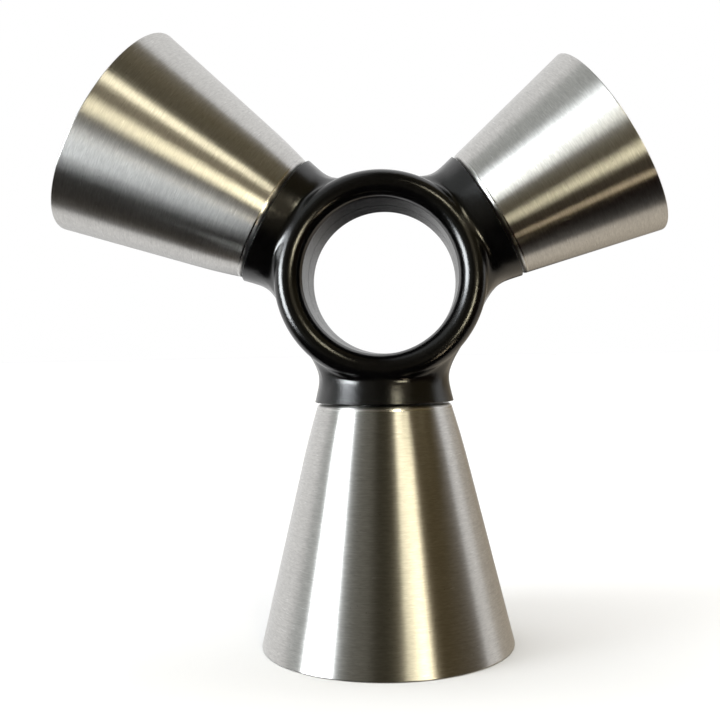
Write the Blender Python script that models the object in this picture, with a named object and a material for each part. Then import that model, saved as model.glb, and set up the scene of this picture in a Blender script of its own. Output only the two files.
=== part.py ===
"""Three-measure bar jigger: three conical steel cups fixed around a black finger ring.

Frame: metres, +Z up. The jigger stands on the mouth of its large cup, the finger
ring's axis lies along Y with the front towards -Y, and the origin is the middle of
the bounding box's bottom. Each arm has its own empty at the ring's centre, whose +Z
points out along the arm, so the pieces of an arm are modelled along +Z.
"""
import math

import bmesh
import bpy
from mathutils import Matrix

MM = 0.001
GAP = 0.3 * MM                    # clearance between pieces that touch
MERGE = 0.00001                   # vertices closer than this are one vertex
SHARP_ANGLE = math.radians(32)

# Finger ring: a straight hole with a rounded bead on each face
HOLE_RADIUS = 16.15 * MM
BEAD_HALF_WIDTH = 2.95 * MM
BEAD_HEIGHT = 3.6 * MM
RING_STRAIGHT_HALF = 10.9 * MM    # from the middle plane to where a bead starts
RING_CENTRE_RADIUS = HOLE_RADIUS + BEAD_HALF_WIDTH
RING_OUTER_RADIUS = HOLE_RADIUS + 2 * BEAD_HALF_WIDTH
RING_SEGMENTS = 64
BEAD_STEPS = 7

# Collars: flared sockets that carry the cups
COLLAR_FACE = 25.9 * MM           # distance of the collar's end face from the ring's centre
COLLAR_LIP_RADIUS = 14.9 * MM
COLLAR_LIP_ROUND = 0.4 * MM
COLLAR_WAIST_RADIUS = 13.8 * MM
COLLAR_WAIST_DEPTH = 13.2 * MM    # half depth along Y, just behind the bead's crest
COLLAR_FILLET = 5.0 * MM
COLLAR_SINK = 0.25 * MM           # how far the fillet runs into the ring
COLLAR_ROOT = 17.2 * MM
COLLAR_ROOT_TAPER = 0.45
COLLAR_SEGMENTS = 40
COLLAR_FLARE_STEPS = 3
COLLAR_FILLET_STEPS = 3

# Cups: one cone, cut at three lengths
CUP_BASE = 26.4 * MM              # distance of the cup's base from the ring's centre
CUP_BASE_RADIUS = 14.63 * MM
CUP_HALF_ANGLE = math.radians(13.37)
CUP_WALL = 0.7 * MM
CUP_CORNER = 1.1 * MM
CUP_INNER_CORNER = 1.0 * MM
CUP_RIM_CHAMFER = 0.12 * MM
CUP_BOW = 0.45 * MM               # how far a drawn cup pulls in at its base corner
CUP_BOW_SHARE = 0.25              # share of the length over which it pulls in
CUP_BOW_STEPS = 3
CUP_CORNER_STEPS = 3
CUP_SEGMENTS = 48
ARMS = (
    # name, direction in degrees from +X towards +Z, cup length, pull-in at the base
    ("large", 270.0, 50.7 * MM, CUP_BOW),
    ("medium", 150.0, 40.7 * MM, CUP_BOW),
    ("small", 30.0, 30.7 * MM, 0.0),
)

# Studs: welded under the cups, with a keyed flange held between the two shells
STUD_RADIUS = 4.0 * MM
STUD_FLANGE_RADIUS = 10.6 * MM
STUD_FLANGE_HALF_FLATS = 9.2 * MM
STUD_FLANGE_BASE = 19.6 * MM
STUD_FLANGE_TOP = 22.0 * MM
STUD_CHAMFER = 0.4 * MM
STUD_SEGMENTS = 32

# Gaskets: flat rings let into the collars' end faces
GASKET_OUTER_RADIUS = 12.6 * MM
GASKET_INNER_RADIUS = 4.6 * MM
GASKET_THICKNESS = 0.8 * MM
GASKET_SEGMENTS = 32

# Screws: from behind, through the rear shell into inserts in the front shell
SCREWS = (("top", 90.0), ("left", 210.0), ("right", 330.0))
SCREW_RADIUS = 1.0 * MM
SCREW_HEAD_RADIUS = 1.8 * MM
SCREW_HEAD_HEIGHT = 1.5 * MM
SCREW_HEAD_ROUND = 0.3 * MM
SCREW_HEAD_SEAT = 11.8 * MM       # the head's underside, measured from the middle plane
SCREW_LENGTH = 18.0 * MM
SCREW_SOCKET_RADIUS = 0.85 * MM
SCREW_SOCKET_DEPTH = 0.9 * MM
SCREW_SEGMENTS = 24
INSERT_RADIUS = 1.8 * MM
INSERT_NEAR = 1.0 * MM            # the insert's ends, measured from the middle plane
INSERT_FAR = 6.0 * MM
INSERT_SEGMENTS = 20

# Locating pegs of the front shell, beside the screws
PEG_RADIUS = 1.2 * MM
PEG_HEIGHT = 2.0 * MM
PEG_OFFSET_DEGREES = 14.0
PEG_SEGMENTS = 20

FAR = 60.0 * MM                   # reach of the cutters that run past the hub


# ---------------------------------------------------------------- shapes

def remove_everything():
    for old in list(bpy.data.objects):
        bpy.data.objects.remove(old, do_unlink=True)


def material(name, colour, roughness, metallic):
    mat = bpy.data.materials.new(name)
    mat.use_nodes = True
    shader = mat.node_tree.nodes["Principled BSDF"]
    shader.inputs["Base Color"].default_value = (*colour, 1.0)
    shader.inputs["Roughness"].default_value = roughness
    shader.inputs["Metallic"].default_value = metallic
    return mat


def arc(centre_r, centre_z, radius, start, end, steps, stretch=1.0):
    """Points of an arc in the (r, z) plane, from start to end in radians, stretched along z."""
    points = []
    for step in range(steps + 1):
        angle = start + (end - start) * step / steps
        height = radius * stretch * math.sin(angle)
        points.append((centre_r + radius * math.cos(angle), centre_z + height))
    return points


def turned(outline, segments, loop):
    """Turn an (r, z) outline about Z; a loop outline closes on itself, away from the axis."""
    bm = bmesh.new()
    verts = [bm.verts.new((r, 0.0, z)) for r, z in outline]
    edges = [bm.edges.new(pair) for pair in zip(verts, verts[1:])]
    if loop:
        edges.append(bm.edges.new((verts[-1], verts[0])))
    bmesh.ops.spin(
        bm, geom=verts + edges, cent=(0, 0, 0), axis=(0, 0, 1),
        angle=math.tau, steps=segments, use_merge=True,
    )
    bmesh.ops.remove_doubles(bm, verts=bm.verts, dist=MERGE)
    bmesh.ops.recalc_face_normals(bm, faces=bm.faces)
    return bm


def lofted(sections, segments):
    """Skin over ellipses (half width in X, half width in Y, height), closed at both ends."""
    bm = bmesh.new()
    rings = []
    for half_x, half_y, height in sections:
        ring = []
        for step in range(segments):
            angle = math.tau * step / segments
            ring.append(bm.verts.new((half_x * math.cos(angle), half_y * math.sin(angle), height)))
        rings.append(ring)
    for low, high in zip(rings, rings[1:]):
        for step in range(segments):
            after = (step + 1) % segments
            bm.faces.new((low[step], low[after], high[after], high[step]))
    bm.faces.new(rings[0])
    bm.faces.new(rings[-1])
    bmesh.ops.recalc_face_normals(bm, faces=bm.faces)
    return bm


def flatten_sides(bm, low, high, half_width):
    """Press the part of a turned shape between two heights flat on its +X and -X sides."""
    for vert in bm.verts:
        if low - MERGE < vert.co.z < high + MERGE:
            vert.co.x = max(-half_width, min(half_width, vert.co.x))


def add(name, bm, mat, parent=None, transform=None):
    """Put a bmesh in the scene as a smooth-shaded object under its parent empty."""
    mesh = bpy.data.meshes.new(name)
    bm.to_mesh(mesh)
    bm.free()
    mesh.shade_smooth()
    mesh.set_sharp_from_angle(angle=SHARP_ANGLE)
    obj = bpy.data.objects.new(name, mesh)
    bpy.context.scene.collection.objects.link(obj)
    if mat:
        mesh.materials.append(mat)
    obj.parent = parent
    if transform:
        obj.matrix_basis = transform
    return obj


def as_cutter(obj):
    obj.hide_render = True
    obj.display_type = "WIRE"
    return obj


def combine(target, other, operation):
    """Add an exact Boolean modifier that stays on its object."""
    modifier = target.modifiers.new(f"{operation.lower()}_{other.name}", "BOOLEAN")
    modifier.operation = operation
    modifier.solver = "EXACT"
    modifier.object = other


def empty(name, parent=None):
    obj = bpy.data.objects.new(name, None)
    bpy.context.scene.collection.objects.link(obj)
    obj.parent = parent
    return obj


# ---------------------------------------------------------------- frame

def cup_mouth_radius(length):
    return CUP_BASE_RADIUS + length * math.tan(CUP_HALF_ANGLE)


def reach(direction, length, along_x):
    """Furthest coordinate of an arm's mouth circle, along X or Z, from the ring's centre."""
    angle = math.radians(direction)
    axial = math.cos(angle) if along_x else math.sin(angle)
    across = math.sin(angle) if along_x else math.cos(angle)
    outer = (CUP_BASE + length) * axial
    spread = cup_mouth_radius(length) * abs(across)
    return outer + spread if outer > 0 else outer - spread


def build_frame():
    """Empties: the ring's centre, and one per arm with +Z out along the arm."""
    _, large_direction, large_length, _ = ARMS[0]
    _, medium_direction, medium_length, _ = ARMS[1]
    _, small_direction, small_length, _ = ARMS[2]
    left = reach(medium_direction, medium_length, True)
    right = reach(small_direction, small_length, True)
    centre = empty("hub_centre")
    centre.location = (-(left + right) / 2, 0.0, -reach(large_direction, large_length, False))
    arms = {}
    for name, direction, _, _ in ARMS:
        arm = empty(f"{name}_arm", centre)
        arm.rotation_euler = (0.0, math.radians(90.0 - direction), 0.0)
        arms[name] = arm
    return centre, arms


# ---------------------------------------------------------------- cups

def wall_radius(z, length, bow):
    """Outer radius of a cup's wall at a distance z from the ring's centre."""
    height = z - CUP_BASE
    radius = CUP_BASE_RADIUS + height * math.tan(CUP_HALF_ANGLE)
    bow_length = CUP_BOW_SHARE * length
    if height < bow_length:
        radius -= bow * (1.0 - height / bow_length) ** 2
    return radius


def wall_points(start, end, length, bow, inset):
    """Points up a wall: some over the stretch that pulls in, then one straight run."""
    bow_end = CUP_BASE + CUP_BOW_SHARE * length
    points = []
    if bow > 0.0:
        for step in range(1, CUP_BOW_STEPS + 1):
            z = start + (bow_end - start) * step / CUP_BOW_STEPS
            points.append((wall_radius(z, length, bow) - inset, z))
    points.append((wall_radius(end, length, bow) - inset, end))
    return points


def corner_points(base, radius, length, bow, inset):
    """The arc that joins a cup's base to its wall."""
    sine = math.sin(CUP_HALF_ANGLE)
    cosine = math.cos(CUP_HALF_ANGLE)
    centre_z = base + radius
    centre_r = wall_radius(centre_z - radius * sine, length, bow) - inset - radius * cosine
    return arc(centre_r, centre_z, radius, -math.pi / 2, -CUP_HALF_ANGLE, CUP_CORNER_STEPS)


def build_cup(name, length, bow, arm, mat):
    """A drawn steel cup: flat base, rounded corner, conical wall and a flat rim."""
    mouth = CUP_BASE + length
    floor = CUP_BASE + CUP_WALL
    inset = CUP_WALL / math.cos(CUP_HALF_ANGLE)
    outside = corner_points(CUP_BASE, CUP_CORNER, length, bow, 0.0)
    outside += wall_points(outside[-1][1], mouth - CUP_RIM_CHAMFER, length, bow, 0.0)
    inside = corner_points(floor, CUP_INNER_CORNER, length, bow, inset)
    inside += wall_points(inside[-1][1], mouth - CUP_RIM_CHAMFER, length, bow, inset)
    rim_outer = wall_radius(mouth, length, bow) - CUP_RIM_CHAMFER
    rim_inner = wall_radius(mouth, length, bow) - inset + CUP_RIM_CHAMFER
    outline = [(0.0, CUP_BASE)] + outside
    outline += [(rim_outer, mouth), (rim_inner, mouth)]
    outline += inside[::-1] + [(0.0, floor)]
    add(f"{name}_cup", turned(outline, CUP_SEGMENTS, False), mat, arm)


def build_stud(name, arm, mat):
    """A short shaft with a flange whose two flats stop the cup from turning."""
    top = CUP_BASE - GAP
    outline = [
        (0.0, STUD_FLANGE_BASE),
        (STUD_FLANGE_RADIUS - STUD_CHAMFER, STUD_FLANGE_BASE),
        (STUD_FLANGE_RADIUS, STUD_FLANGE_BASE + STUD_CHAMFER),
        (STUD_FLANGE_RADIUS, STUD_FLANGE_TOP),
        (STUD_RADIUS, STUD_FLANGE_TOP),
        (STUD_RADIUS, top),
        (0.0, top),
    ]
    bm = turned(outline, STUD_SEGMENTS, False)
    flatten_sides(bm, STUD_FLANGE_BASE, STUD_FLANGE_TOP, STUD_FLANGE_HALF_FLATS)
    add(f"{name}_cup_stud", bm, mat, arm)


def build_gasket(name, arm, mat):
    top = CUP_BASE - GAP
    bottom = top - GASKET_THICKNESS
    outline = [
        (GASKET_INNER_RADIUS, bottom),
        (GASKET_OUTER_RADIUS, bottom),
        (GASKET_OUTER_RADIUS, top),
        (GASKET_INNER_RADIUS, top),
    ]
    add(f"{name}_cup_gasket", turned(outline, GASKET_SEGMENTS, True), mat, arm)


# ---------------------------------------------------------------- hub shells

def ring_shape():
    """The finger ring about Z: straight walls inside and out, a rounded bead at both faces."""
    outline = []
    for side, start in ((1, 0.0), (-1, math.pi)):
        outline += arc(
            RING_CENTRE_RADIUS, side * RING_STRAIGHT_HALF, BEAD_HALF_WIDTH,
            start, start + math.pi, BEAD_STEPS, BEAD_HEIGHT / BEAD_HALF_WIDTH,
        )
    return turned(outline, RING_SEGMENTS, True)


def collar_shape():
    """A collar: lip, concave flare to the waist, then a fillet that widens into the ring."""
    lip_start = COLLAR_FACE - COLLAR_LIP_ROUND
    fillet_height = math.sqrt(
        (RING_OUTER_RADIUS - COLLAR_SINK + COLLAR_FILLET) ** 2
        - (COLLAR_WAIST_RADIUS + COLLAR_FILLET) ** 2
    )
    sections = []
    for step in range(COLLAR_FILLET_STEPS):
        height = COLLAR_ROOT + (fillet_height - COLLAR_ROOT) * step / COLLAR_FILLET_STEPS
        drop = fillet_height - height
        widening = COLLAR_FILLET - math.sqrt(COLLAR_FILLET ** 2 - drop ** 2)
        half_y = COLLAR_WAIST_DEPTH - COLLAR_ROOT_TAPER * drop
        sections.append((COLLAR_WAIST_RADIUS + widening, half_y, height))
    for step in range(COLLAR_FLARE_STEPS + 1):
        share = step / COLLAR_FLARE_STEPS
        height = fillet_height + (lip_start - fillet_height) * share
        half_x = COLLAR_WAIST_RADIUS + (COLLAR_LIP_RADIUS - COLLAR_WAIST_RADIUS) * share ** 2
        half_y = COLLAR_WAIST_DEPTH + (COLLAR_LIP_RADIUS - COLLAR_WAIST_DEPTH) * share ** 2
        sections.append((half_x, half_y, height))
    lip = COLLAR_LIP_RADIUS - COLLAR_LIP_ROUND
    for radius, height in arc(lip, lip_start, COLLAR_LIP_ROUND, 0.0, math.pi / 2, 2)[1:]:
        sections.append((radius, radius, height))
    return lofted(sections, COLLAR_SEGMENTS)


def pocket_shape():
    """What a collar is hollowed by: flange pocket, shaft hole and the gasket's recess."""
    pocket_base = STUD_FLANGE_BASE - GAP
    pocket_top = STUD_FLANGE_TOP + GAP
    recess = CUP_BASE - 2 * GAP - GASKET_THICKNESS
    outline = [
        (0.0, pocket_base),
        (STUD_FLANGE_RADIUS + GAP, pocket_base),
        (STUD_FLANGE_RADIUS + GAP, pocket_top),
        (STUD_RADIUS + GAP, pocket_top),
        (STUD_RADIUS + GAP, recess),
        (GASKET_OUTER_RADIUS + GAP, recess),
        (GASKET_OUTER_RADIUS + GAP, CUP_BASE),
        (0.0, CUP_BASE),
    ]
    bm = turned(outline, STUD_SEGMENTS, False)
    flatten_sides(bm, pocket_base, pocket_top, STUD_FLANGE_HALF_FLATS + GAP)
    return bm


def round_bar(radius, start, end, segments):
    """A solid cylinder about Z between two heights."""
    outline = [(0.0, start), (radius, start), (radius, end), (0.0, end)]
    return turned(outline, segments, False)


def stepped_bar(narrow, start, step, wide, end, segments):
    """A solid bar about Z that is narrow from start to step and wide from there to end."""
    outline = [(0.0, start), (narrow, start), (narrow, step), (wide, step), (wide, end), (0.0, end)]
    return turned(outline, segments, False)


def on_ring(direction):
    """Placement on the ring's centre circle with local +Z pointing to the rear, +Y."""
    angle = math.radians(direction)
    place = Matrix.Translation((
        RING_CENTRE_RADIUS * math.cos(angle), 0.0, RING_CENTRE_RADIUS * math.sin(angle),
    ))
    return place @ Matrix.Rotation(-math.pi / 2, 4, "X")


def half_space(name, centre, side):
    """A block over everything on one side of the parting gap: side is +1 rear, -1 front."""
    bm = bmesh.new()
    bmesh.ops.create_cube(bm, size=1.0)
    bmesh.ops.scale(bm, vec=(2 * FAR, FAR, 2 * FAR), verts=bm.verts)
    bmesh.ops.translate(bm, vec=(0.0, side * (FAR / 2 - GAP / 2), 0.0), verts=bm.verts)
    return as_cutter(add(name, bm, None, centre))


def build_hub(centre, arms, mat):
    """The two half shells that close on the studs' flanges at the ring's middle plane."""
    lay_down = Matrix.Rotation(-math.pi / 2, 4, "X")
    front = add("hub_front_shell", ring_shape(), mat, centre, lay_down)
    rear = add("hub_rear_shell", ring_shape(), mat, centre, lay_down)
    for name, arm in arms.items():
        collar = as_cutter(add(f"{name}_collar_form", collar_shape(), None, arm))
        combine(front, collar, "UNION")
        combine(rear, collar, "UNION")
    for name, arm in arms.items():
        pocket = as_cutter(add(f"{name}_pocket_form", pocket_shape(), None, arm))
        combine(front, pocket, "DIFFERENCE")
        combine(rear, pocket, "DIFFERENCE")
    combine(front, half_space("rear_half_form", centre, 1), "DIFFERENCE")
    combine(rear, half_space("front_half_form", centre, -1), "DIFFERENCE")
    for name, direction in SCREWS:
        cut_screw_seat(name, on_ring(direction), centre, front, rear)
        add_peg(name, on_ring(direction + PEG_OFFSET_DEGREES), centre, front, rear)


def cut_screw_seat(name, place, centre, front, rear):
    """Clearance hole and counterbore in the rear shell, insert hole in the front shell."""
    narrow = SCREW_RADIUS + GAP
    seat = stepped_bar(
        narrow, -GAP, SCREW_HEAD_SEAT - GAP, SCREW_HEAD_RADIUS + GAP, FAR, SCREW_SEGMENTS,
    )
    hole = stepped_bar(
        narrow, SCREW_HEAD_SEAT - SCREW_LENGTH - GAP, -INSERT_FAR - GAP,
        INSERT_RADIUS + GAP, GAP, INSERT_SEGMENTS,
    )
    combine(rear, as_cutter(add(f"{name}_seat_form", seat, None, centre, place)), "DIFFERENCE")
    combine(front, as_cutter(add(f"{name}_insert_form", hole, None, centre, place)), "DIFFERENCE")


def add_peg(name, place, centre, front, rear):
    peg = round_bar(PEG_RADIUS, -PEG_HEIGHT, PEG_HEIGHT, PEG_SEGMENTS)
    hole = round_bar(PEG_RADIUS + GAP, -GAP, PEG_HEIGHT + GAP, PEG_SEGMENTS)
    combine(front, as_cutter(add(f"{name}_peg_form", peg, None, centre, place)), "UNION")
    combine(rear, as_cutter(add(f"{name}_peg_hole_form", hole, None, centre, place)), "DIFFERENCE")


# ---------------------------------------------------------------- fasteners

def build_screw(name, place, centre, mat):
    """A hex-socket screw along local Z, with its head at the rear."""
    head_top = SCREW_HEAD_SEAT + SCREW_HEAD_HEIGHT
    tip = SCREW_HEAD_SEAT - SCREW_LENGTH
    outline = [(0.0, tip), (SCREW_RADIUS - SCREW_HEAD_ROUND, tip), (SCREW_RADIUS, tip + SCREW_HEAD_ROUND)]
    outline += [(SCREW_RADIUS, SCREW_HEAD_SEAT), (SCREW_HEAD_RADIUS, SCREW_HEAD_SEAT)]
    outline += arc(
        SCREW_HEAD_RADIUS - SCREW_HEAD_ROUND, head_top - SCREW_HEAD_ROUND, SCREW_HEAD_ROUND,
        0.0, math.pi / 2, 2,
    )
    outline.append((0.0, head_top))
    screw = add(f"hub_screw_{name}", turned(outline, SCREW_SEGMENTS, False), mat, centre, place)
    socket = round_bar(SCREW_SOCKET_RADIUS, head_top - SCREW_SOCKET_DEPTH, FAR, 6)
    combine(screw, as_cutter(add(f"{name}_socket_form", socket, None, centre, place)), "DIFFERENCE")


def build_insert(name, place, centre, mat):
    inner = SCREW_RADIUS + GAP
    outline = [
        (inner, -INSERT_FAR), (INSERT_RADIUS, -INSERT_FAR),
        (INSERT_RADIUS, -INSERT_NEAR), (inner, -INSERT_NEAR),
    ]
    add(f"screw_insert_{name}", turned(outline, INSERT_SEGMENTS, True), mat, centre, place)


def main():
    remove_everything()
    steel = material("brushed_steel", (0.62, 0.60, 0.57), 0.30, 1.0)
    stud_steel = material("stud_steel", (0.50, 0.50, 0.50), 0.35, 1.0)
    black = material("satin_black_plastic", (0.012, 0.012, 0.013), 0.38, 0.0)
    rubber = material("gasket_rubber", (0.02, 0.02, 0.02), 0.70, 0.0)
    screw_black = material("blackened_screw_steel", (0.05, 0.05, 0.055), 0.40, 0.8)
    brass = material("insert_brass", (0.70, 0.50, 0.20), 0.35, 1.0)
    centre, arms = build_frame()
    for name, _, length, bow in ARMS:
        build_cup(name, length, bow, arms[name], steel)
        build_stud(name, arms[name], stud_steel)
        build_gasket(name, arms[name], rubber)
    build_hub(centre, arms, black)
    for name, direction in SCREWS:
        build_screw(name, on_ring(direction), centre, screw_black)
        build_insert(name, on_ring(direction), centre, brass)
    bpy.context.view_layer.update()


main()
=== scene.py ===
import math

import bmesh
import bpy
import numpy as np
from mathutils import Matrix, Vector


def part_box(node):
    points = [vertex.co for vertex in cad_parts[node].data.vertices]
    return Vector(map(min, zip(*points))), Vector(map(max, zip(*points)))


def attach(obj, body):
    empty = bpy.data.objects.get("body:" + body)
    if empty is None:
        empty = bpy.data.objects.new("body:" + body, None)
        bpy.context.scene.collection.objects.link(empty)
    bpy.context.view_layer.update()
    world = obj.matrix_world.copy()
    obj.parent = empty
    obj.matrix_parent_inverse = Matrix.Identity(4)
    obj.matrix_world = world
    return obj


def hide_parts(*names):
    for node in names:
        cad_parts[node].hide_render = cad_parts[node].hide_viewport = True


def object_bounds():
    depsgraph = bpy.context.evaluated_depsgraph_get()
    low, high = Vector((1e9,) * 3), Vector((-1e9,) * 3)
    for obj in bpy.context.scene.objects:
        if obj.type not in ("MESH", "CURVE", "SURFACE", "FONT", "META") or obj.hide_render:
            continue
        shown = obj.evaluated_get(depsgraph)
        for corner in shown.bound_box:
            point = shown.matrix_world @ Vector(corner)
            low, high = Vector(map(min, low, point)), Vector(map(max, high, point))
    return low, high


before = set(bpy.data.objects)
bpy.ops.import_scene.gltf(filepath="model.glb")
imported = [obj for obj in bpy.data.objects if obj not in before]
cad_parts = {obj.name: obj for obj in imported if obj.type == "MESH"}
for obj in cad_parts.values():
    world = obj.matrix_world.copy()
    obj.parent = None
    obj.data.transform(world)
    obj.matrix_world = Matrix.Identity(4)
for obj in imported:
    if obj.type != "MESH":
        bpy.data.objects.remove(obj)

# A three-measure bar jigger: three brushed steel cups around a satin black finger ring.
# Shapes are worked out in millimetres around the ring's centre and stored in metres.

CAD_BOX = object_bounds()
MM = 0.001

# ---------------------------------------------------------------- sizes in millimetres
# The CAD model's, with four changes seen after it was packed: the seam is closer, the collars end
# 0.4 mm further out, their waist is a little wider, and the cups' bases lie 0.35 mm further out.

HOLE_RADIUS = 16.15
BEAD_HALF_WIDTH = 2.95
BEAD_HEIGHT = 3.6
RING_STRAIGHT_HALF = 10.9
RING_MIDDLE_RADIUS = HOLE_RADIUS + BEAD_HALF_WIDTH
SEAM_HALF = 0.012                # closer than in the CAD model, so that no light shows through
SEAM_CHAMFER = 0.2

COLLAR_FACE = 26.3
COLLAR_PAST = 27.6               # how far the rough collar runs before it is cut at its face
COLLAR_ROOT = 17.2
COLLAR_WAIST_AT = 20.0
COLLAR_WAIST = (13.7, 13.5)      # half width across the arm, half depth along Y
COLLAR_LIP = 14.9
COLLAR_FLARE = 1.3
LIP_CHAMFER = 0.12
SIDE_FILLET = 5.0
FRONT_FILLET = 1.0
MIN_FILLET = 0.05
FILLET_CHANGE = (6.0, 12.0)      # the fillet narrows over this range of distance from the seam
FILLET_START = (18.8, 20.4)      # and it grows from nothing over this range of radius

CUP_BASE = 26.75
CUP_BASE_RADIUS = 14.71
CUP_HALF_ANGLE = math.radians(13.37)
CUP_WALL = 0.7
CUP_CORNER = 0.85
CUP_INNER_CORNER = 1.0
CUP_BOW = 0.45
CUP_BOW_SHARE = 0.25
RIM_ROUND = 0.22
ARMS = {
    # direction from +X towards +Z in degrees, cup length, pull-in at the base
    "large": (270.0, 50.35, CUP_BOW),
    "medium": (150.0, 40.35, CUP_BOW),
    "small": (30.0, 30.35, 0.0),
}

SCREW_HEAD_SEAT = 11.8           # the head's underside, measured from the middle plane
SCREW_HEAD_RADIUS = 1.8
SCREW_HEAD_HEIGHT = 1.5
SCREW_HEAD_ROUND = 0.35
SCREW_EDGE = 0.05
SCREW_SHANK_RADIUS = 1.0
SCREW_SHANK_END = 5.0
SCREW_SOCKET_RADIUS = 0.9
SCREW_SOCKET_DEPTH = 0.9
SCREW_CLEARANCE = 0.25
SCREW_SEAT_END = 20.0            # well clear of the moulding

CUP_SEGMENTS = 192
BAR_SEGMENTS = 64
RING_ROWS, RING_COLUMNS = 24, 96
CORNER_STEPS = 8
WALL_STEPS = 40
RIM_STEPS = 4
HEAD_STEPS = 5
VOXEL = 0.4                      # size of the remesh that fuses the ring and the collars
FIELD_STEP = 0.02                # for the slope of the hub's field
FIELD_REACH = 0.6                # the furthest a point moves at one go
FLATTEST_SLOPE = 0.25
SMOOTH_UNDER = math.radians(40)  # edges that turn by more than this stay sharp
SMOOTH_UNDER_CUP = math.radians(50)

SCREWS = ("hub_screw_top", "hub_screw_left", "hub_screw_right")

large_low, large_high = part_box("large_cup")
LARGE_MOUTH = CUP_BASE + ARMS["large"][1]
HUB = Vector(((large_low.x + large_high.x) / 2, 0.0, large_low.z + LARGE_MOUTH * MM))


def middle_of(node):
    low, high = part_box(node)
    return (low + high) / 2


# ---------------------------------------------------------------- room, light and camera

# The steel shows little but what it mirrors, so this room isn't plain: its directions and tones
# were tuned until the streaks on the cups came close to the photo's.
ROOM_BASE = (0.055, 0.048, 0.031, 1.0)
ROOM = (
    # azimuth from, to; elevation from, to; edge softness (all in degrees); radiance
    (-130, -36, -24, 80, 7, (0.55, 0.57, 0.56)),
    (-42, -14, -20, 60, 6, (0.16, 0.15, 0.12)),
    (6, 50, -28, 2, 6, (0.19, 0.165, 0.115)),
    (46, 130, 4, 80, 9, (0.14, 0.11, 0.055)),
    (46, 130, -35, 4, 8, (0.04, 0.022, 0.010)),
    (-400, 400, -100, -28, 9, (0.004, 0.002, 0.002)),
    (14, 46, 0, 28, 4, (0.55, 0.47, 0.32)),
    (33, 48, -34, -8, 4, (0.42, 0.35, 0.24)),
    # the window, then the three lamps
    (-77, -50, -19, 24, 3, (6.0, 6.3, 6.6)),
    (-77, -50, -18, 13, 1.5, (20.0, 21.0, 21.6)),
    (20, 30, 26, 39, 1.5, (13.0, 12.0, 8.8)),
    (28, 41, -17, -2, 1.5, (17.5, 16.0, 11.4)),
    (43, 49, -43, -37, 1.5, (16.0, 13.0, 8.6)),
)
BACKDROP = (0.95, 0.95, 0.95, 1.0)
BACKDROP_FOLD = (0.34, 0.33, 0.32, 1.0)
BACKDROP_TONES = (
    (100, 300, -90, -6, 8, (0.62, 0.55, 0.45)),
    (118, 165, -12, 12, 8, (0.34, 0.28, 0.20)),
    (168, 400, -40, -2, 4, (0.02, 0.02, 0.02)),
    (-400, -168, -40, -2, 4, (0.02, 0.02, 0.02)),
)

# The photo's view, solved from the object's outline: millimetres from the hub, and degrees.
CAMERA_FROM_HUB = (8.65, -215.05, -14.84)
CAMERA_TURN = (93.135, 0.926, 2.979)
CAMERA_LENS = 49.73
CAMERA_SENSOR = 36.0
CAMERA_SHIFT = (-0.0164, -0.0925)

# How far behind the object a direction points, as the sine of its angle past the side. The room
# gives way to the backdrop over one range, and the backdrop's fold shows as a line in another.
BACKDROP_FROM = (0.13, 0.17)
FOLD_LINE = (0.205, 0.22, 0.235, 0.25)
FOLD_SHARE = 0.75
BACKDROP_DROP = 0.2              # the backdrop's edge comes forward below the horizon
BACKDROP_SLANT = 1.15            # and does so less towards +X

SUN_POWER = 2.2
SUN_ANGLE = 60.0
SUN_TILT = (8.0, -6.0, 0.0)
FLOOR_RADIUS = 6.0
FLOOR_GAP = 0.0001
FLOOR_TONES = ((0.84, 0.84, 0.84, 1.0), (0.88, 0.88, 0.88, 1.0))


# ---------------------------------------------------------------- node helpers

class Nodes:
    """A small builder for a shader tree: node() makes a node, value inputs are set by name."""

    def __init__(self, tree):
        self.tree = tree

    def node(self, kind, inputs=None, **settings):
        made = self.tree.nodes.new(kind)
        for key, value in settings.items():
            setattr(made, key, value)
        for key, value in (inputs or {}).items():
            self.put(value, made.inputs[key])
        return made

    def put(self, value, socket):
        if isinstance(value, bpy.types.NodeSocket):
            self.tree.links.new(value, socket)
        elif isinstance(value, bpy.types.Node):
            self.tree.links.new(value.outputs[0], socket)
        else:
            socket.default_value = value

    def math(self, operation, first, second=0.0, clamp=False):
        made = self.node("ShaderNodeMath", {0: first, 1: second}, operation=operation)
        made.use_clamp = clamp
        return made.outputs[0]

    def blend(self, *parts):
        """The sum of the values, each times its weight."""
        total = None
        for value, weight in parts:
            part = self.math("MULTIPLY", value, weight)
            total = part if total is None else self.math("ADD", total, part)
        return total

    def span(self, value, low, high, to_low=0.0, to_high=1.0, smooth=True):
        """Value mapped from low..high to to_low..to_high, clamped."""
        return self.node(
            "ShaderNodeMapRange",
            {
                "Value": value, "From Min": low, "From Max": high,
                "To Min": to_low, "To Max": to_high,
            },
            interpolation_type="SMOOTHSTEP" if smooth else "LINEAR",
        ).outputs["Result"]

    def mix(self, factor, first, second):
        made = self.node("ShaderNodeMix", {0: factor, 6: first, 7: second}, data_type="RGBA")
        return made.outputs[2]

    def noise(self, vector, scale, detail=2.0, roughness=0.5):
        return self.node(
            "ShaderNodeTexNoise",
            {"Vector": vector, "Scale": scale, "Detail": detail, "Roughness": roughness},
        ).outputs[0]

    def stretched(self, vector, scale):
        return self.node("ShaderNodeMapping", {"Vector": vector, "Scale": scale}).outputs[0]


def new_material(name):
    mat = bpy.data.materials.new(name)
    mat.use_nodes = True
    nodes = Nodes(mat.node_tree)
    shader = mat.node_tree.nodes["Principled BSDF"]
    return mat, nodes, shader


# ---------------------------------------------------------------- materials

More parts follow.
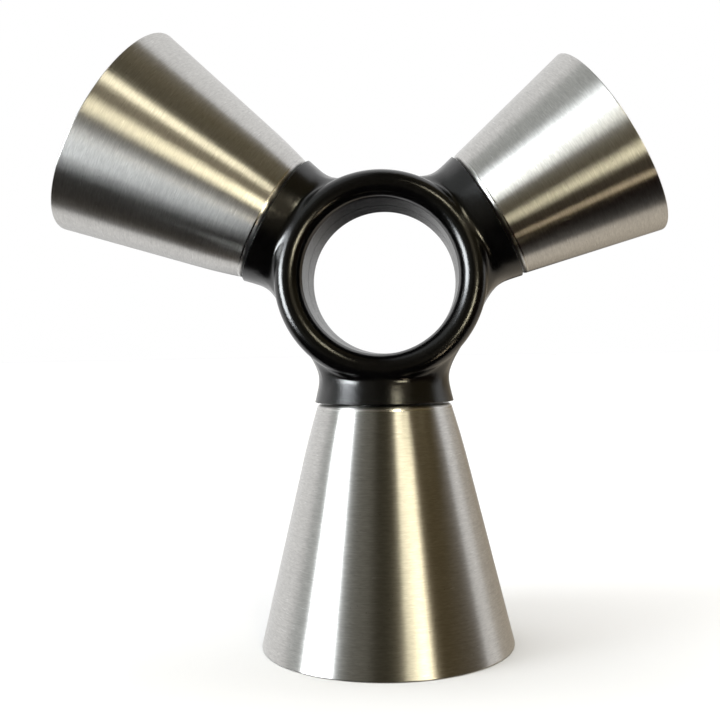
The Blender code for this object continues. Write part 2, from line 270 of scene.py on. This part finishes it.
# Noise frequencies per metre along X, Y and Z; the brushing is fine along Z only.
FINE_SCALE = (70.0, 70.0, 9000.0)
COARSE_SCALE = (45.0, 45.0, 2600.0)
CLOUD_SCALE = (90.0, 90.0, 60.0)
DASH_SCALE = (620.0, 620.0, 3600.0)
GLINT_SCALE = (420.0, 420.0, 5200.0)
SMEAR_SCALE = (90.0, 60.0, 120.0)
SPECK_SCALE = 1500.0
GRAIN_SCALE = 3800.0
MOULD_SCALE = 420.0
FINE_SHARE = 0.6
GLINT_TONE = (0.95, 0.95, 0.94, 1.0)
# Darker than real black plastic, to come near the photo's crushed blacks.
BLACK_TONES = ((0.0009, 0.0009, 0.0010, 1.0), (0.0017, 0.0016, 0.0016, 1.0))
BORE_EDGE = ((HOLE_RADIUS + 0.25) * MM, (HOLE_RADIUS + 0.05) * MM)
BORE_EXTRA_ROUGHNESS = 0.02
SATIN_ROUGHNESS = 0.10
SATIN_SPECULAR = (0.52, 0.03)    # outside, and in the bore


def scaled(colour, factor):
    """An opaque colour, made lighter or darker by the factor."""
    return tuple(min(1.0, c * factor) for c in colour) + (1.0,)


def brushed_steel(name, colour, roughness, brush_depth, anisotropy):
    """Steel brushed round its object's Z axis, so that highlights run along the axis."""
    mat, nodes, shader = new_material(name)
    place = nodes.node("ShaderNodeTexCoord").outputs["Object"]
    fine = nodes.noise(nodes.stretched(place, FINE_SCALE), 1.0, 2.0, 0.6)
    coarse = nodes.noise(nodes.stretched(place, COARSE_SCALE), 1.0, 2.0, 0.5)
    cloud = nodes.noise(nodes.stretched(place, CLOUD_SCALE), 1.0, 3.0, 0.55)
    dash = nodes.noise(nodes.stretched(place, DASH_SCALE), 1.0, 2.0, 0.65)
    speck = nodes.noise(place, SPECK_SCALE, 1.0, 0.5)
    brush = nodes.blend((fine, FINE_SHARE), (coarse, 1.0 - FINE_SHARE))
    pit = nodes.span(speck, 0.74, 0.79)
    glint = nodes.noise(nodes.stretched(place, GLINT_SCALE), 1.0, 1.0, 0.5)
    spark = nodes.span(glint, 0.70, 0.76)
    light = scaled(colour, 1.04)
    dark = scaled(colour, 0.94)
    tone = nodes.mix(nodes.span(brush, 0.35, 0.65), dark, light)
    mottle = nodes.span(dash, 0.25, 0.75, 0.86, 1.14, smooth=False)
    tone = nodes.node("ShaderNodeVectorMath", {0: tone, 1: mottle}, operation="MULTIPLY").outputs[0]
    tone = nodes.mix(nodes.math("MULTIPLY", spark, 0.5), tone, GLINT_TONE)
    pitted = nodes.mix(nodes.math("MULTIPLY", pit, 0.35), tone, scaled(colour, 0.35))
    nodes.put(pitted, shader.inputs["Base Color"])
    wear = nodes.math("MULTIPLY", nodes.math("SUBTRACT", cloud, 0.5), 0.06)
    grain = nodes.math("MULTIPLY", nodes.math("SUBTRACT", brush, 0.5), 0.10)
    rough = nodes.math("ADD", nodes.math("ADD", wear, grain), roughness, clamp=True)
    nodes.put(rough, shader.inputs["Roughness"])
    bump = nodes.node(
        "ShaderNodeBump", {"Height": brush, "Strength": 1.0, "Distance": brush_depth},
    )
    nodes.put(bump.outputs[0], shader.inputs["Normal"])
    tangent = nodes.node("ShaderNodeTangent", direction_type="RADIAL", axis="Z")
    nodes.put(tangent.outputs[0], shader.inputs["Tangent"])
    shader.inputs["Metallic"].default_value = 1.0
    shader.inputs["Anisotropic"].default_value = anisotropy
    shader.inputs["Anisotropic Rotation"].default_value = 0.25
    return mat


def satin_black():
    """Moulded black plastic with a fine grain and faint handling marks."""
    mat, nodes, shader = new_material("hub_satin_black")
    place = nodes.node("ShaderNodeTexCoord").outputs["Object"]
    grain = nodes.noise(place, GRAIN_SCALE, 2.0, 0.6)
    mould = nodes.noise(place, MOULD_SCALE, 3.0, 0.55)
    smear = nodes.noise(nodes.stretched(place, SMEAR_SCALE), 1.0, 3.0, 0.6)
    tone = nodes.mix(nodes.span(mould, 0.35, 0.7), *BLACK_TONES)
    nodes.put(tone, shader.inputs["Base Color"])
    x, _, z = nodes.node("ShaderNodeSeparateXYZ", {0: place}).outputs
    square = nodes.math("ADD", nodes.math("MULTIPLY", x, x), nodes.math("MULTIPLY", z, z))
    radius = nodes.math("SQRT", square)
    bore = nodes.span(radius, *BORE_EDGE)
    rough = nodes.blend((smear, 0.10), (grain, 0.06), (bore, BORE_EXTRA_ROUGHNESS))
    satin = nodes.math("ADD", rough, SATIN_ROUGHNESS, clamp=True)
    nodes.put(satin, shader.inputs["Roughness"])
    nodes.put(nodes.span(bore, 0.0, 1.0, *SATIN_SPECULAR), shader.inputs["Specular IOR Level"])
    height = nodes.math("ADD", grain, nodes.math("MULTIPLY", mould, 1.6))
    bump = nodes.node("ShaderNodeBump", {"Height": height, "Strength": 0.8, "Distance": 0.00003})
    nodes.put(bump.outputs[0], shader.inputs["Normal"])
    shader.inputs["IOR"].default_value = 1.52
    return mat


def plain_detail(name, colour, roughness, metallic, grain_scale, depth):
    """Small hidden or half-hidden pieces: a toned colour, broken roughness and a fine bump."""
    mat, nodes, shader = new_material(name)
    place = nodes.node("ShaderNodeTexCoord").outputs["Object"]
    grain = nodes.noise(place, grain_scale, 3.0, 0.6)
    cloud = nodes.noise(place, grain_scale / 8, 2.0, 0.5)
    tone = nodes.mix(nodes.span(cloud, 0.3, 0.7), scaled(colour, 0.7), scaled(colour, 1.0))
    nodes.put(tone, shader.inputs["Base Color"])
    spread = nodes.math("MULTIPLY", nodes.math("SUBTRACT", grain, 0.5), 0.25)
    nodes.put(nodes.math("ADD", spread, roughness, clamp=True), shader.inputs["Roughness"])
    bump = nodes.node("ShaderNodeBump", {"Height": grain, "Strength": 0.6, "Distance": depth})
    nodes.put(bump.outputs[0], shader.inputs["Normal"])
    shader.inputs["Metallic"].default_value = metallic
    return mat


# ---------------------------------------------------------------- cups

def arc(centre_r, centre_z, radius, start, end, steps):
    angles = np.linspace(start, end, steps + 1)
    return [(centre_r + radius * math.cos(a), centre_z + radius * math.sin(a)) for a in angles]


def wall_radius(z, length, bow):
    height = z - CUP_BASE
    radius = CUP_BASE_RADIUS + height * math.tan(CUP_HALF_ANGLE)
    bow_length = CUP_BOW_SHARE * length
    if height < bow_length:
        radius -= bow * (1.0 - height / bow_length) ** 2
    return radius


def cup_side(base, corner, length, bow, inset, top):
    """Outline of one side of the wall: from the base's edge round the corner up to the rim."""
    sine, cosine = math.sin(CUP_HALF_ANGLE), math.cos(CUP_HALF_ANGLE)
    centre_z = base + corner
    centre_r = wall_radius(centre_z - corner * sine, length, bow) - inset - corner * cosine
    points = [(share * centre_r, base) for share in (0.25, 0.5, 0.75)]
    points += arc(centre_r, centre_z, corner, -math.pi / 2, -CUP_HALF_ANGLE, CORNER_STEPS)
    start = points[-1][1]
    for step in range(1, WALL_STEPS + 1):
        z = start + (top - start) * (1.0 - math.cos(math.pi * step / WALL_STEPS)) / 2
        points.append((wall_radius(z, length, bow) - inset, z))
    return points


def cup_outline(length, bow):
    mouth = CUP_BASE + length
    inset = CUP_WALL / math.cos(CUP_HALF_ANGLE)
    outside = cup_side(CUP_BASE, CUP_CORNER, length, bow, 0.0, mouth - RIM_ROUND)
    inside = cup_side(CUP_BASE + CUP_WALL, CUP_INNER_CORNER, length, bow, inset, mouth - RIM_ROUND)
    outer_r = outside[-1][0] - RIM_ROUND
    inner_r = inside[-1][0] + RIM_ROUND
    rim = arc(outer_r, mouth - RIM_ROUND, RIM_ROUND, 0.0, math.pi / 2, RIM_STEPS)[1:]
    rim += arc(inner_r, mouth - RIM_ROUND, RIM_ROUND, math.pi / 2, math.pi, RIM_STEPS)[:-1]
    return outside, rim, inside[::-1]


def face_outwards(bm):
    bmesh.ops.recalc_face_normals(bm, faces=bm.faces)
    if bm.calc_volume(signed=True) < 0:
        bmesh.ops.reverse_faces(bm, faces=bm.faces)


def turned_mesh(name, outline, segments):
    """Mesh of a closed body turned about Z; the outline's two ends are joined on the axis."""
    bm = bmesh.new()
    rings = []
    for r, z in outline:
        ring = [
            bm.verts.new((r * MM * math.cos(a), r * MM * math.sin(a), z * MM))
            for a in np.arange(segments) * math.tau / segments
        ]
        rings.append(ring)
    for low, high in zip(rings, rings[1:]):
        for step in range(segments):
            after = (step + 1) % segments
            bm.faces.new((low[step], low[after], high[after], high[step]))
    for ring, z in ((rings[0], outline[0][1]), (rings[-1], outline[-1][1])):
        pole = bm.verts.new((0.0, 0.0, z * MM))
        for step in range(segments):
            bm.faces.new((ring[step], ring[(step + 1) % segments], pole))
    face_outwards(bm)
    mesh = bpy.data.meshes.new(name)
    bm.to_mesh(mesh)
    bm.free()
    mesh.shade_smooth()
    mesh.set_sharp_from_angle(angle=SMOOTH_UNDER_CUP)
    return mesh


def arm_matrix(direction):
    """From arm space, +Z out along the arm, to the row frame."""
    return Matrix.Translation(HUB) @ Matrix.Rotation(math.radians(90.0 - direction), 4, "Y")


def place(name, mesh, transform, mats, slot, *replaced):
    obj = bpy.data.objects.new(name, mesh)
    bpy.context.scene.collection.objects.link(obj)
    obj.matrix_world = transform
    for mat in mats:
        mesh.materials.append(mat)
    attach(obj, "root")
    if replaced:
        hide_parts(*replaced)
    return obj


def make_cups(outer, inner):
    for name, (direction, length, bow) in ARMS.items():
        outside, rim, inside = cup_outline(length, bow)
        mesh = turned_mesh(f"{name}_cup_spun", outside + rim + inside, CUP_SEGMENTS)
        floor = (CUP_BASE + CUP_WALL) * MM
        limit = CUP_WALL / 2 * MM
        place(
            f"{name}_cup_spun", mesh, arm_matrix(direction), (outer, inner),
            "cup_steel", f"{name}_cup",
        )
        slope = math.tan(CUP_HALF_ANGLE)
        for poly in mesh.polygons:
            x, y, z = poly.center
            middle = (CUP_BASE_RADIUS - CUP_WALL / 2 + (z / MM - CUP_BASE) * slope) * MM
            on_floor = abs(z - floor) < limit / 2
            if on_floor or (math.hypot(x, y) < middle - bow * MM and z > floor + limit / 2):
                poly.material_index = 1


# ---------------------------------------------------------------- hub

def share_of(x, span):
    low, high = span
    return (x - low) / (high - low)


def smooth_step(x):
    x = np.clip(x, 0.0, 1.0)
    return x * x * (3.0 - 2.0 * x)


def soft_min(a, b, width):
    share = np.maximum(width - np.abs(a - b), 0.0) / width
    return np.minimum(a, b) - share * share * width / 4.0


def ring_field(points):
    """Distance to the finger ring: straight walls, and an elliptic bead on each face."""
    x, y, z = points.T
    across = np.hypot(x, z) - RING_MIDDLE_RADIUS
    beyond = np.maximum(np.abs(y) - RING_STRAIGHT_HALF, 0.0) * BEAD_HALF_WIDTH / BEAD_HEIGHT
    return np.hypot(across, beyond) - BEAD_HALF_WIDTH


def collar_field(points, direction):
    """Distance to a collar: a slightly flattened tube that flares towards its face."""
    angle = math.radians(direction)
    x, y, z = points.T
    along = x * math.cos(angle) + z * math.sin(angle)
    across = -x * math.sin(angle) + z * math.cos(angle)
    share = np.clip((along - COLLAR_WAIST_AT) / (COLLAR_FACE - COLLAR_WAIST_AT), 0.0, 1.3)
    flare = share ** COLLAR_FLARE
    half_width = COLLAR_WAIST[0] + (COLLAR_LIP - COLLAR_WAIST[0]) * flare
    half_depth = COLLAR_WAIST[1] + (COLLAR_LIP - COLLAR_WAIST[1]) * flare
    tube = (np.hypot(across / half_width, y / half_depth) - 1.0) * half_depth
    return np.maximum(np.maximum(tube, along - COLLAR_PAST), COLLAR_ROOT - along)


def hub_field(points):
    """Distance to the whole hub, with wide fillets at the sides and narrow ones in front."""
    x, y, z = points.T
    radius = np.hypot(x, z)
    ring = ring_field(points)
    facing = smooth_step(share_of(np.abs(y), FILLET_CHANGE))
    width = SIDE_FILLET + (FRONT_FILLET - SIDE_FILLET) * facing
    width = MIN_FILLET + width * smooth_step(share_of(radius, FILLET_START))
    field = ring
    for direction, _, _ in ARMS.values():
        field = soft_min(field, collar_field(points, direction), width)
    return np.maximum(field, HOLE_RADIUS - radius)


def project(points, rounds):
    """Move points along the field's gradient onto the hub's surface."""
    for _ in range(rounds):
        value = hub_field(points)
        slope = np.empty_like(points)
        for axis in range(3):
            ahead = points.copy()
            ahead[:, axis] += FIELD_STEP
            behind = points.copy()
            behind[:, axis] -= FIELD_STEP
            slope[:, axis] = (hub_field(ahead) - hub_field(behind)) / (2 * FIELD_STEP)
        steep = np.maximum((slope * slope).sum(axis=1), FLATTEST_SLOPE)
        points = points - slope * np.clip(value / steep, -FIELD_REACH, FIELD_REACH)[:, None]
    return points


def relax(points, pairs, share):
    """Move each point part of the way to the middle of its neighbours."""
    total = np.zeros_like(points)
    count = np.zeros(len(points))
    for one, other in ((0, 1), (1, 0)):
        np.add.at(total, pairs[:, one], points[pairs[:, other]])
        np.add.at(count, pairs[:, one], 1.0)
    return points + share * (total / count[:, None] - points)


def rough_hub():
    """Overlapping closed bodies for the ring and collars, fused by a voxel remesh."""
    bm = bmesh.new()
    ring = []
    for row in range(RING_ROWS):
        angle = math.tau * row / RING_ROWS
        side = 1.0 if math.sin(angle) >= 0 else -1.0
        r = RING_MIDDLE_RADIUS + BEAD_HALF_WIDTH * math.cos(angle)
        y = side * RING_STRAIGHT_HALF + BEAD_HEIGHT * math.sin(angle)
        ring.append([
            bm.verts.new((r * math.cos(a), y, r * math.sin(a)))
            for a in np.arange(RING_COLUMNS) * math.tau / RING_COLUMNS
        ])
    for row in range(RING_ROWS):
        low, high = ring[row], ring[(row + 1) % RING_ROWS]
        for col in range(RING_COLUMNS):
            after = (col + 1) % RING_COLUMNS
            bm.faces.new((low[col], low[after], high[after], high[col]))
    for direction, _, _ in ARMS.values():
        turn = Matrix.Rotation(math.radians(90.0 - direction), 4, "Y")
        ends = []
        for height, radius in ((COLLAR_ROOT, COLLAR_WAIST[1]), (COLLAR_PAST, COLLAR_LIP)):
            ends.append([
                bm.verts.new(turn @ Vector((radius * math.cos(a), radius * math.sin(a), height)))
                for a in np.arange(BAR_SEGMENTS) * math.tau / BAR_SEGMENTS
            ])
        for step in range(BAR_SEGMENTS):
            after = (step + 1) % BAR_SEGMENTS
            bm.faces.new((ends[0][step], ends[0][after], ends[1][after], ends[1][step]))
        bm.faces.new(ends[0])
        bm.faces.new(ends[1])
    face_outwards(bm)
    mesh = bpy.data.meshes.new("hub_rough")
    bm.to_mesh(mesh)
    bm.free()
    obj = bpy.data.objects.new("hub_rough", mesh)
    bpy.context.scene.collection.objects.link(obj)
    remesh = obj.modifiers.new("fuse", "REMESH")
    remesh.mode = "VOXEL"
    remesh.voxel_size = VOXEL
    depsgraph = bpy.context.evaluated_depsgraph_get()
    fused = bpy.data.meshes.new_from_object(obj.evaluated_get(depsgraph))
    bpy.data.objects.remove(obj)
    return fused


def hub_mesh():
    """The whole hub's surface: the fused bodies, relaxed and laid onto the exact field."""
    fused = rough_hub()
    points = np.empty(len(fused.vertices) * 3)
    fused.vertices.foreach_get("co", points)
    points = points.reshape(-1, 3)
    pairs = np.empty(len(fused.edges) * 2, np.int32)
    fused.edges.foreach_get("vertices", pairs)
    pairs = pairs.reshape(-1, 2)
    for _ in range(4):
        points = project(points, 2)
        points = relax(points, pairs, 0.5)
    points = project(points, 4)
    fused.vertices.foreach_set("co", (points * MM).ravel())
    fused.update()
    return fused


def cut_flat(bm, point, normal, chamfer):
    """Cut away what lies beyond a plane, cap the cut and chamfer its edge."""
    def slice_at(back, clear):
        return bmesh.ops.bisect_plane(
            bm, geom=bm.verts[:] + bm.edges[:] + bm.faces[:], plane_co=point - normal * back,
            plane_no=normal, clear_outer=clear, dist=1e-7,
        )["geom_cut"]

    slice_at(chamfer, False)
    cut = slice_at(0.0, True)
    bm.normal_update()
    for vert in [v for v in cut if isinstance(v, bmesh.types.BMVert)]:
        inward = vert.normal - normal * vert.normal.dot(normal)
        if inward.length > 0.1:
            vert.co -= inward.normalized() * chamfer
    rim = [e for e in cut if isinstance(e, bmesh.types.BMEdge)]
    bmesh.ops.triangle_fill(bm, edges=rim, use_beauty=True)


def without(mesh, cutter):
    """The mesh with the cutter's volume taken out of it."""
    holder = bpy.data.objects.new("cut_from", mesh)
    tool = bpy.data.objects.new("cutter", cutter)
    for obj in (holder, tool):
        bpy.context.scene.collection.objects.link(obj)
    difference = holder.modifiers.new("cut", "BOOLEAN")
    difference.operation = "DIFFERENCE"
    difference.object = tool
    difference.solver = "MANIFOLD"
    depsgraph = bpy.context.evaluated_depsgraph_get()
    result = bpy.data.meshes.new_from_object(holder.evaluated_get(depsgraph))
    result.materials.clear()
    bpy.data.objects.remove(holder)
    bpy.data.objects.remove(tool)
    return result


def bar_along_y(name, centre, radius, start, end, segments):
    """A closed round bar parallel to Y, in millimetres round the given hub point."""
    mesh = turned_mesh(name, [(radius, -end), (radius, -start)], segments)
    stand = Matrix.Translation((centre.x, 0.0, centre.z))
    mesh.transform(stand @ Matrix.Rotation(math.pi / 2, 4, "X"))
    return mesh


def half_hub(name, whole, side):
    """One moulding: what lies on its side of the seam, with cut collar faces."""
    bm = bmesh.new()
    bm.from_mesh(whole)
    seam = Vector((0.0, side * SEAM_HALF * MM, 0.0))
    cut_flat(bm, seam, Vector((0.0, -side, 0.0)), SEAM_CHAMFER * MM)
    for direction, _, _ in ARMS.values():
        angle = math.radians(direction)
        normal = Vector((math.cos(angle), 0.0, math.sin(angle)))
        cut_flat(bm, normal * COLLAR_FACE * MM, normal, LIP_CHAMFER * MM)
    face_outwards(bm)
    mesh = bpy.data.meshes.new(name)
    bm.to_mesh(mesh)
    bm.free()
    if side > 0:
        for screw in SCREWS:
            seat = bar_along_y(
                "seat", middle_of(screw) - HUB, SCREW_HEAD_RADIUS + SCREW_CLEARANCE,
                SCREW_HEAD_SEAT, SCREW_SEAT_END, BAR_SEGMENTS,
            )
            mesh = without(mesh, seat)
        mesh.name = name
    mesh.shade_smooth()
    mesh.set_sharp_from_angle(angle=SMOOTH_UNDER)
    return mesh


def make_hub(black):
    whole = hub_mesh()
    at_hub = Matrix.Translation(HUB)
    for label, side in (("front", -1.0), ("rear", 1.0)):
        mesh = half_hub(f"hub_{label}_moulding", whole, side)
        place(f"hub_{label}_moulding", mesh, at_hub, (black,), "hub_black", f"hub_{label}_shell")


def make_screws(metal):
    """Socket-head screws that hold the two mouldings together from the rear."""
    top = SCREW_HEAD_SEAT + SCREW_HEAD_HEIGHT
    outline = [(SCREW_SHANK_RADIUS, SCREW_SHANK_END), (SCREW_SHANK_RADIUS, SCREW_HEAD_SEAT)]
    outline += [
        (SCREW_HEAD_RADIUS - SCREW_EDGE, SCREW_HEAD_SEAT),
        (SCREW_HEAD_RADIUS, SCREW_HEAD_SEAT + SCREW_EDGE),
    ]
    outline += arc(
        SCREW_HEAD_RADIUS - SCREW_HEAD_ROUND, top - SCREW_HEAD_ROUND, SCREW_HEAD_ROUND,
        0.0, math.pi / 2, HEAD_STEPS,
    )
    socket_outline = [
        (SCREW_SOCKET_RADIUS, top - SCREW_SOCKET_DEPTH), (SCREW_SOCKET_RADIUS, top + 1.0),
    ]
    for name in SCREWS:
        mesh = turned_mesh("screw", outline, BAR_SEGMENTS)
        socket = turned_mesh("socket", socket_outline, 6)
        mesh = without(mesh, socket)
        mesh.shade_smooth()
        mesh.set_sharp_from_angle(angle=SMOOTH_UNDER)
        spot = middle_of(name)
        stand = Matrix.Translation((spot.x, 0.0, spot.z)) @ Matrix.Rotation(-math.pi / 2, 4, "X")
        place(f"{name}_turned", mesh, stand, (metal,), "screw_black", name)


# ---------------------------------------------------------------- CAD nodes that stay

def paint_cad_nodes():
    stud = plain_detail("stud_turned_steel", (0.45, 0.45, 0.45), 0.35, 1.0, 2400.0, 0.00001)
    rubber = plain_detail("gasket_black_rubber", (0.012, 0.012, 0.012), 0.65, 0.0, 2600.0, 0.00002)
    brass = plain_detail("insert_turned_brass", (0.66, 0.46, 0.18), 0.35, 1.0, 2400.0, 0.00001)
    for name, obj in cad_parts.items():
        for part, mat in (("stud", stud), ("gasket", rubber), ("insert", brass)):
            if part in name:
                obj.data.materials.clear()
                obj.data.materials.append(mat)


# ---------------------------------------------------------------- stage, light and camera

def toned(nodes, ground, azimuth, elevation, patches):
    """The ground colour with each soft-edged patch of the room laid over it in turn."""
    for west, east, low, high, soft, colour in patches:
        share = 1.0
        for value, start, end in ((azimuth, west, east), (elevation, low, high)):
            rise = nodes.span(value, math.radians(start - soft), math.radians(start + soft))
            fall = nodes.span(value, math.radians(end - soft), math.radians(end + soft), 1.0, 0.0)
            share = nodes.math("MULTIPLY", share, nodes.math("MULTIPLY", rise, fall))
        ground = nodes.mix(share, ground, colour + (1.0,))
    return ground


def make_world():
    """White for the camera, and for every other ray a room and a backdrop set by direction."""
    world = bpy.data.worlds.new("studio")
    bpy.context.scene.world = world
    world.use_nodes = True
    nodes = Nodes(world.node_tree)
    back = world.node_tree.nodes["Background"]
    way = nodes.node("ShaderNodeTexCoord").outputs["Generated"]
    x, y, z = nodes.node("ShaderNodeSeparateXYZ", {0: way}).outputs
    azimuth = nodes.math("ARCTAN2", x, nodes.math("MULTIPLY", y, -1.0))
    elevation = nodes.math("ARCSINE", z)
    room = toned(nodes, ROOM_BASE, azimuth, elevation, ROOM)
    backdrop = toned(nodes, BACKDROP, azimuth, elevation, BACKDROP_TONES)
    below = nodes.math("MULTIPLY", nodes.math("MINIMUM", z, 0.0), BACKDROP_DROP)
    slant = nodes.math("SUBTRACT", 1.0, nodes.math("MULTIPLY", x, BACKDROP_SLANT))
    behind = nodes.math("ADD", y, nodes.math("MULTIPLY", below, slant))
    rise = nodes.span(behind, *FOLD_LINE[:2])
    fall = nodes.span(behind, *FOLD_LINE[2:], 1.0, 0.0)
    fold = nodes.math("MULTIPLY", rise, fall)
    backdrop = nodes.mix(nodes.math("MULTIPLY", fold, FOLD_SHARE), backdrop, BACKDROP_FOLD)
    room = nodes.mix(nodes.span(behind, *BACKDROP_FROM), room, backdrop)
    seen = nodes.node("ShaderNodeLightPath").outputs["Is Camera Ray"]
    nodes.put(nodes.mix(seen, room, (1.0, 1.0, 1.0, 1.0)), back.inputs["Color"])


def make_floor():
    bm = bmesh.new()
    bmesh.ops.create_circle(bm, cap_ends=True, radius=FLOOR_RADIUS, segments=96)
    mesh = bpy.data.meshes.new("floor")
    bm.to_mesh(mesh)
    bm.free()
    floor = bpy.data.objects.new("floor", mesh)
    bpy.context.scene.collection.objects.link(floor)
    mat, nodes, shader = new_material("pale_floor")
    cloud = nodes.noise(nodes.node("ShaderNodeTexCoord").outputs["Object"], 9.0, 2.0, 0.5)
    nodes.put(nodes.mix(cloud, *FLOOR_TONES), shader.inputs["Base Color"])
    shader.inputs["Roughness"].default_value = 0.9
    shader.inputs["Specular IOR Level"].default_value = 0.1
    mesh.materials.append(mat)
    floor.location.z = CAD_BOX[0].z - FLOOR_GAP
    floor.visible_glossy = False     # the steel mirrors the room's own tones below instead


def make_lights():
    data = bpy.data.lights.new("overhead", "SUN")
    data.energy = SUN_POWER
    data.angle = math.radians(SUN_ANGLE)
    top = bpy.data.objects.new("overhead", data)
    bpy.context.scene.collection.objects.link(top)
    top.rotation_euler = [math.radians(a) for a in SUN_TILT]
    top.visible_glossy = False


def make_camera():
    data = bpy.data.cameras.new("camera")
    camera = bpy.data.objects.new("camera", data)
    bpy.context.scene.collection.objects.link(camera)
    camera.location = HUB + Vector(CAMERA_FROM_HUB) * MM
    camera.rotation_euler = [math.radians(a) for a in CAMERA_TURN]
    data.lens = CAMERA_LENS
    data.sensor_width = CAMERA_SENSOR
    data.shift_x, data.shift_y = CAMERA_SHIFT
    data.clip_start = 0.01
    bpy.context.scene.camera = camera


steel = brushed_steel("cup_brushed_steel", (0.62, 0.61, 0.59), 0.345, 0.000002, 0.99)
steel_inside = brushed_steel("cup_inside_steel", (0.60, 0.59, 0.57), 0.24, 0.000006, 0.4)
make_cups(steel, steel_inside)
make_hub(satin_black())
make_screws(plain_detail("screw_blackened_steel", (0.16, 0.16, 0.17), 0.32, 0.9, 3000.0, 0.00001))
paint_cad_nodes()
make_world()
make_floor()
make_lights()
make_camera()

bpy.context.scene.view_settings.view_transform = "Standard"
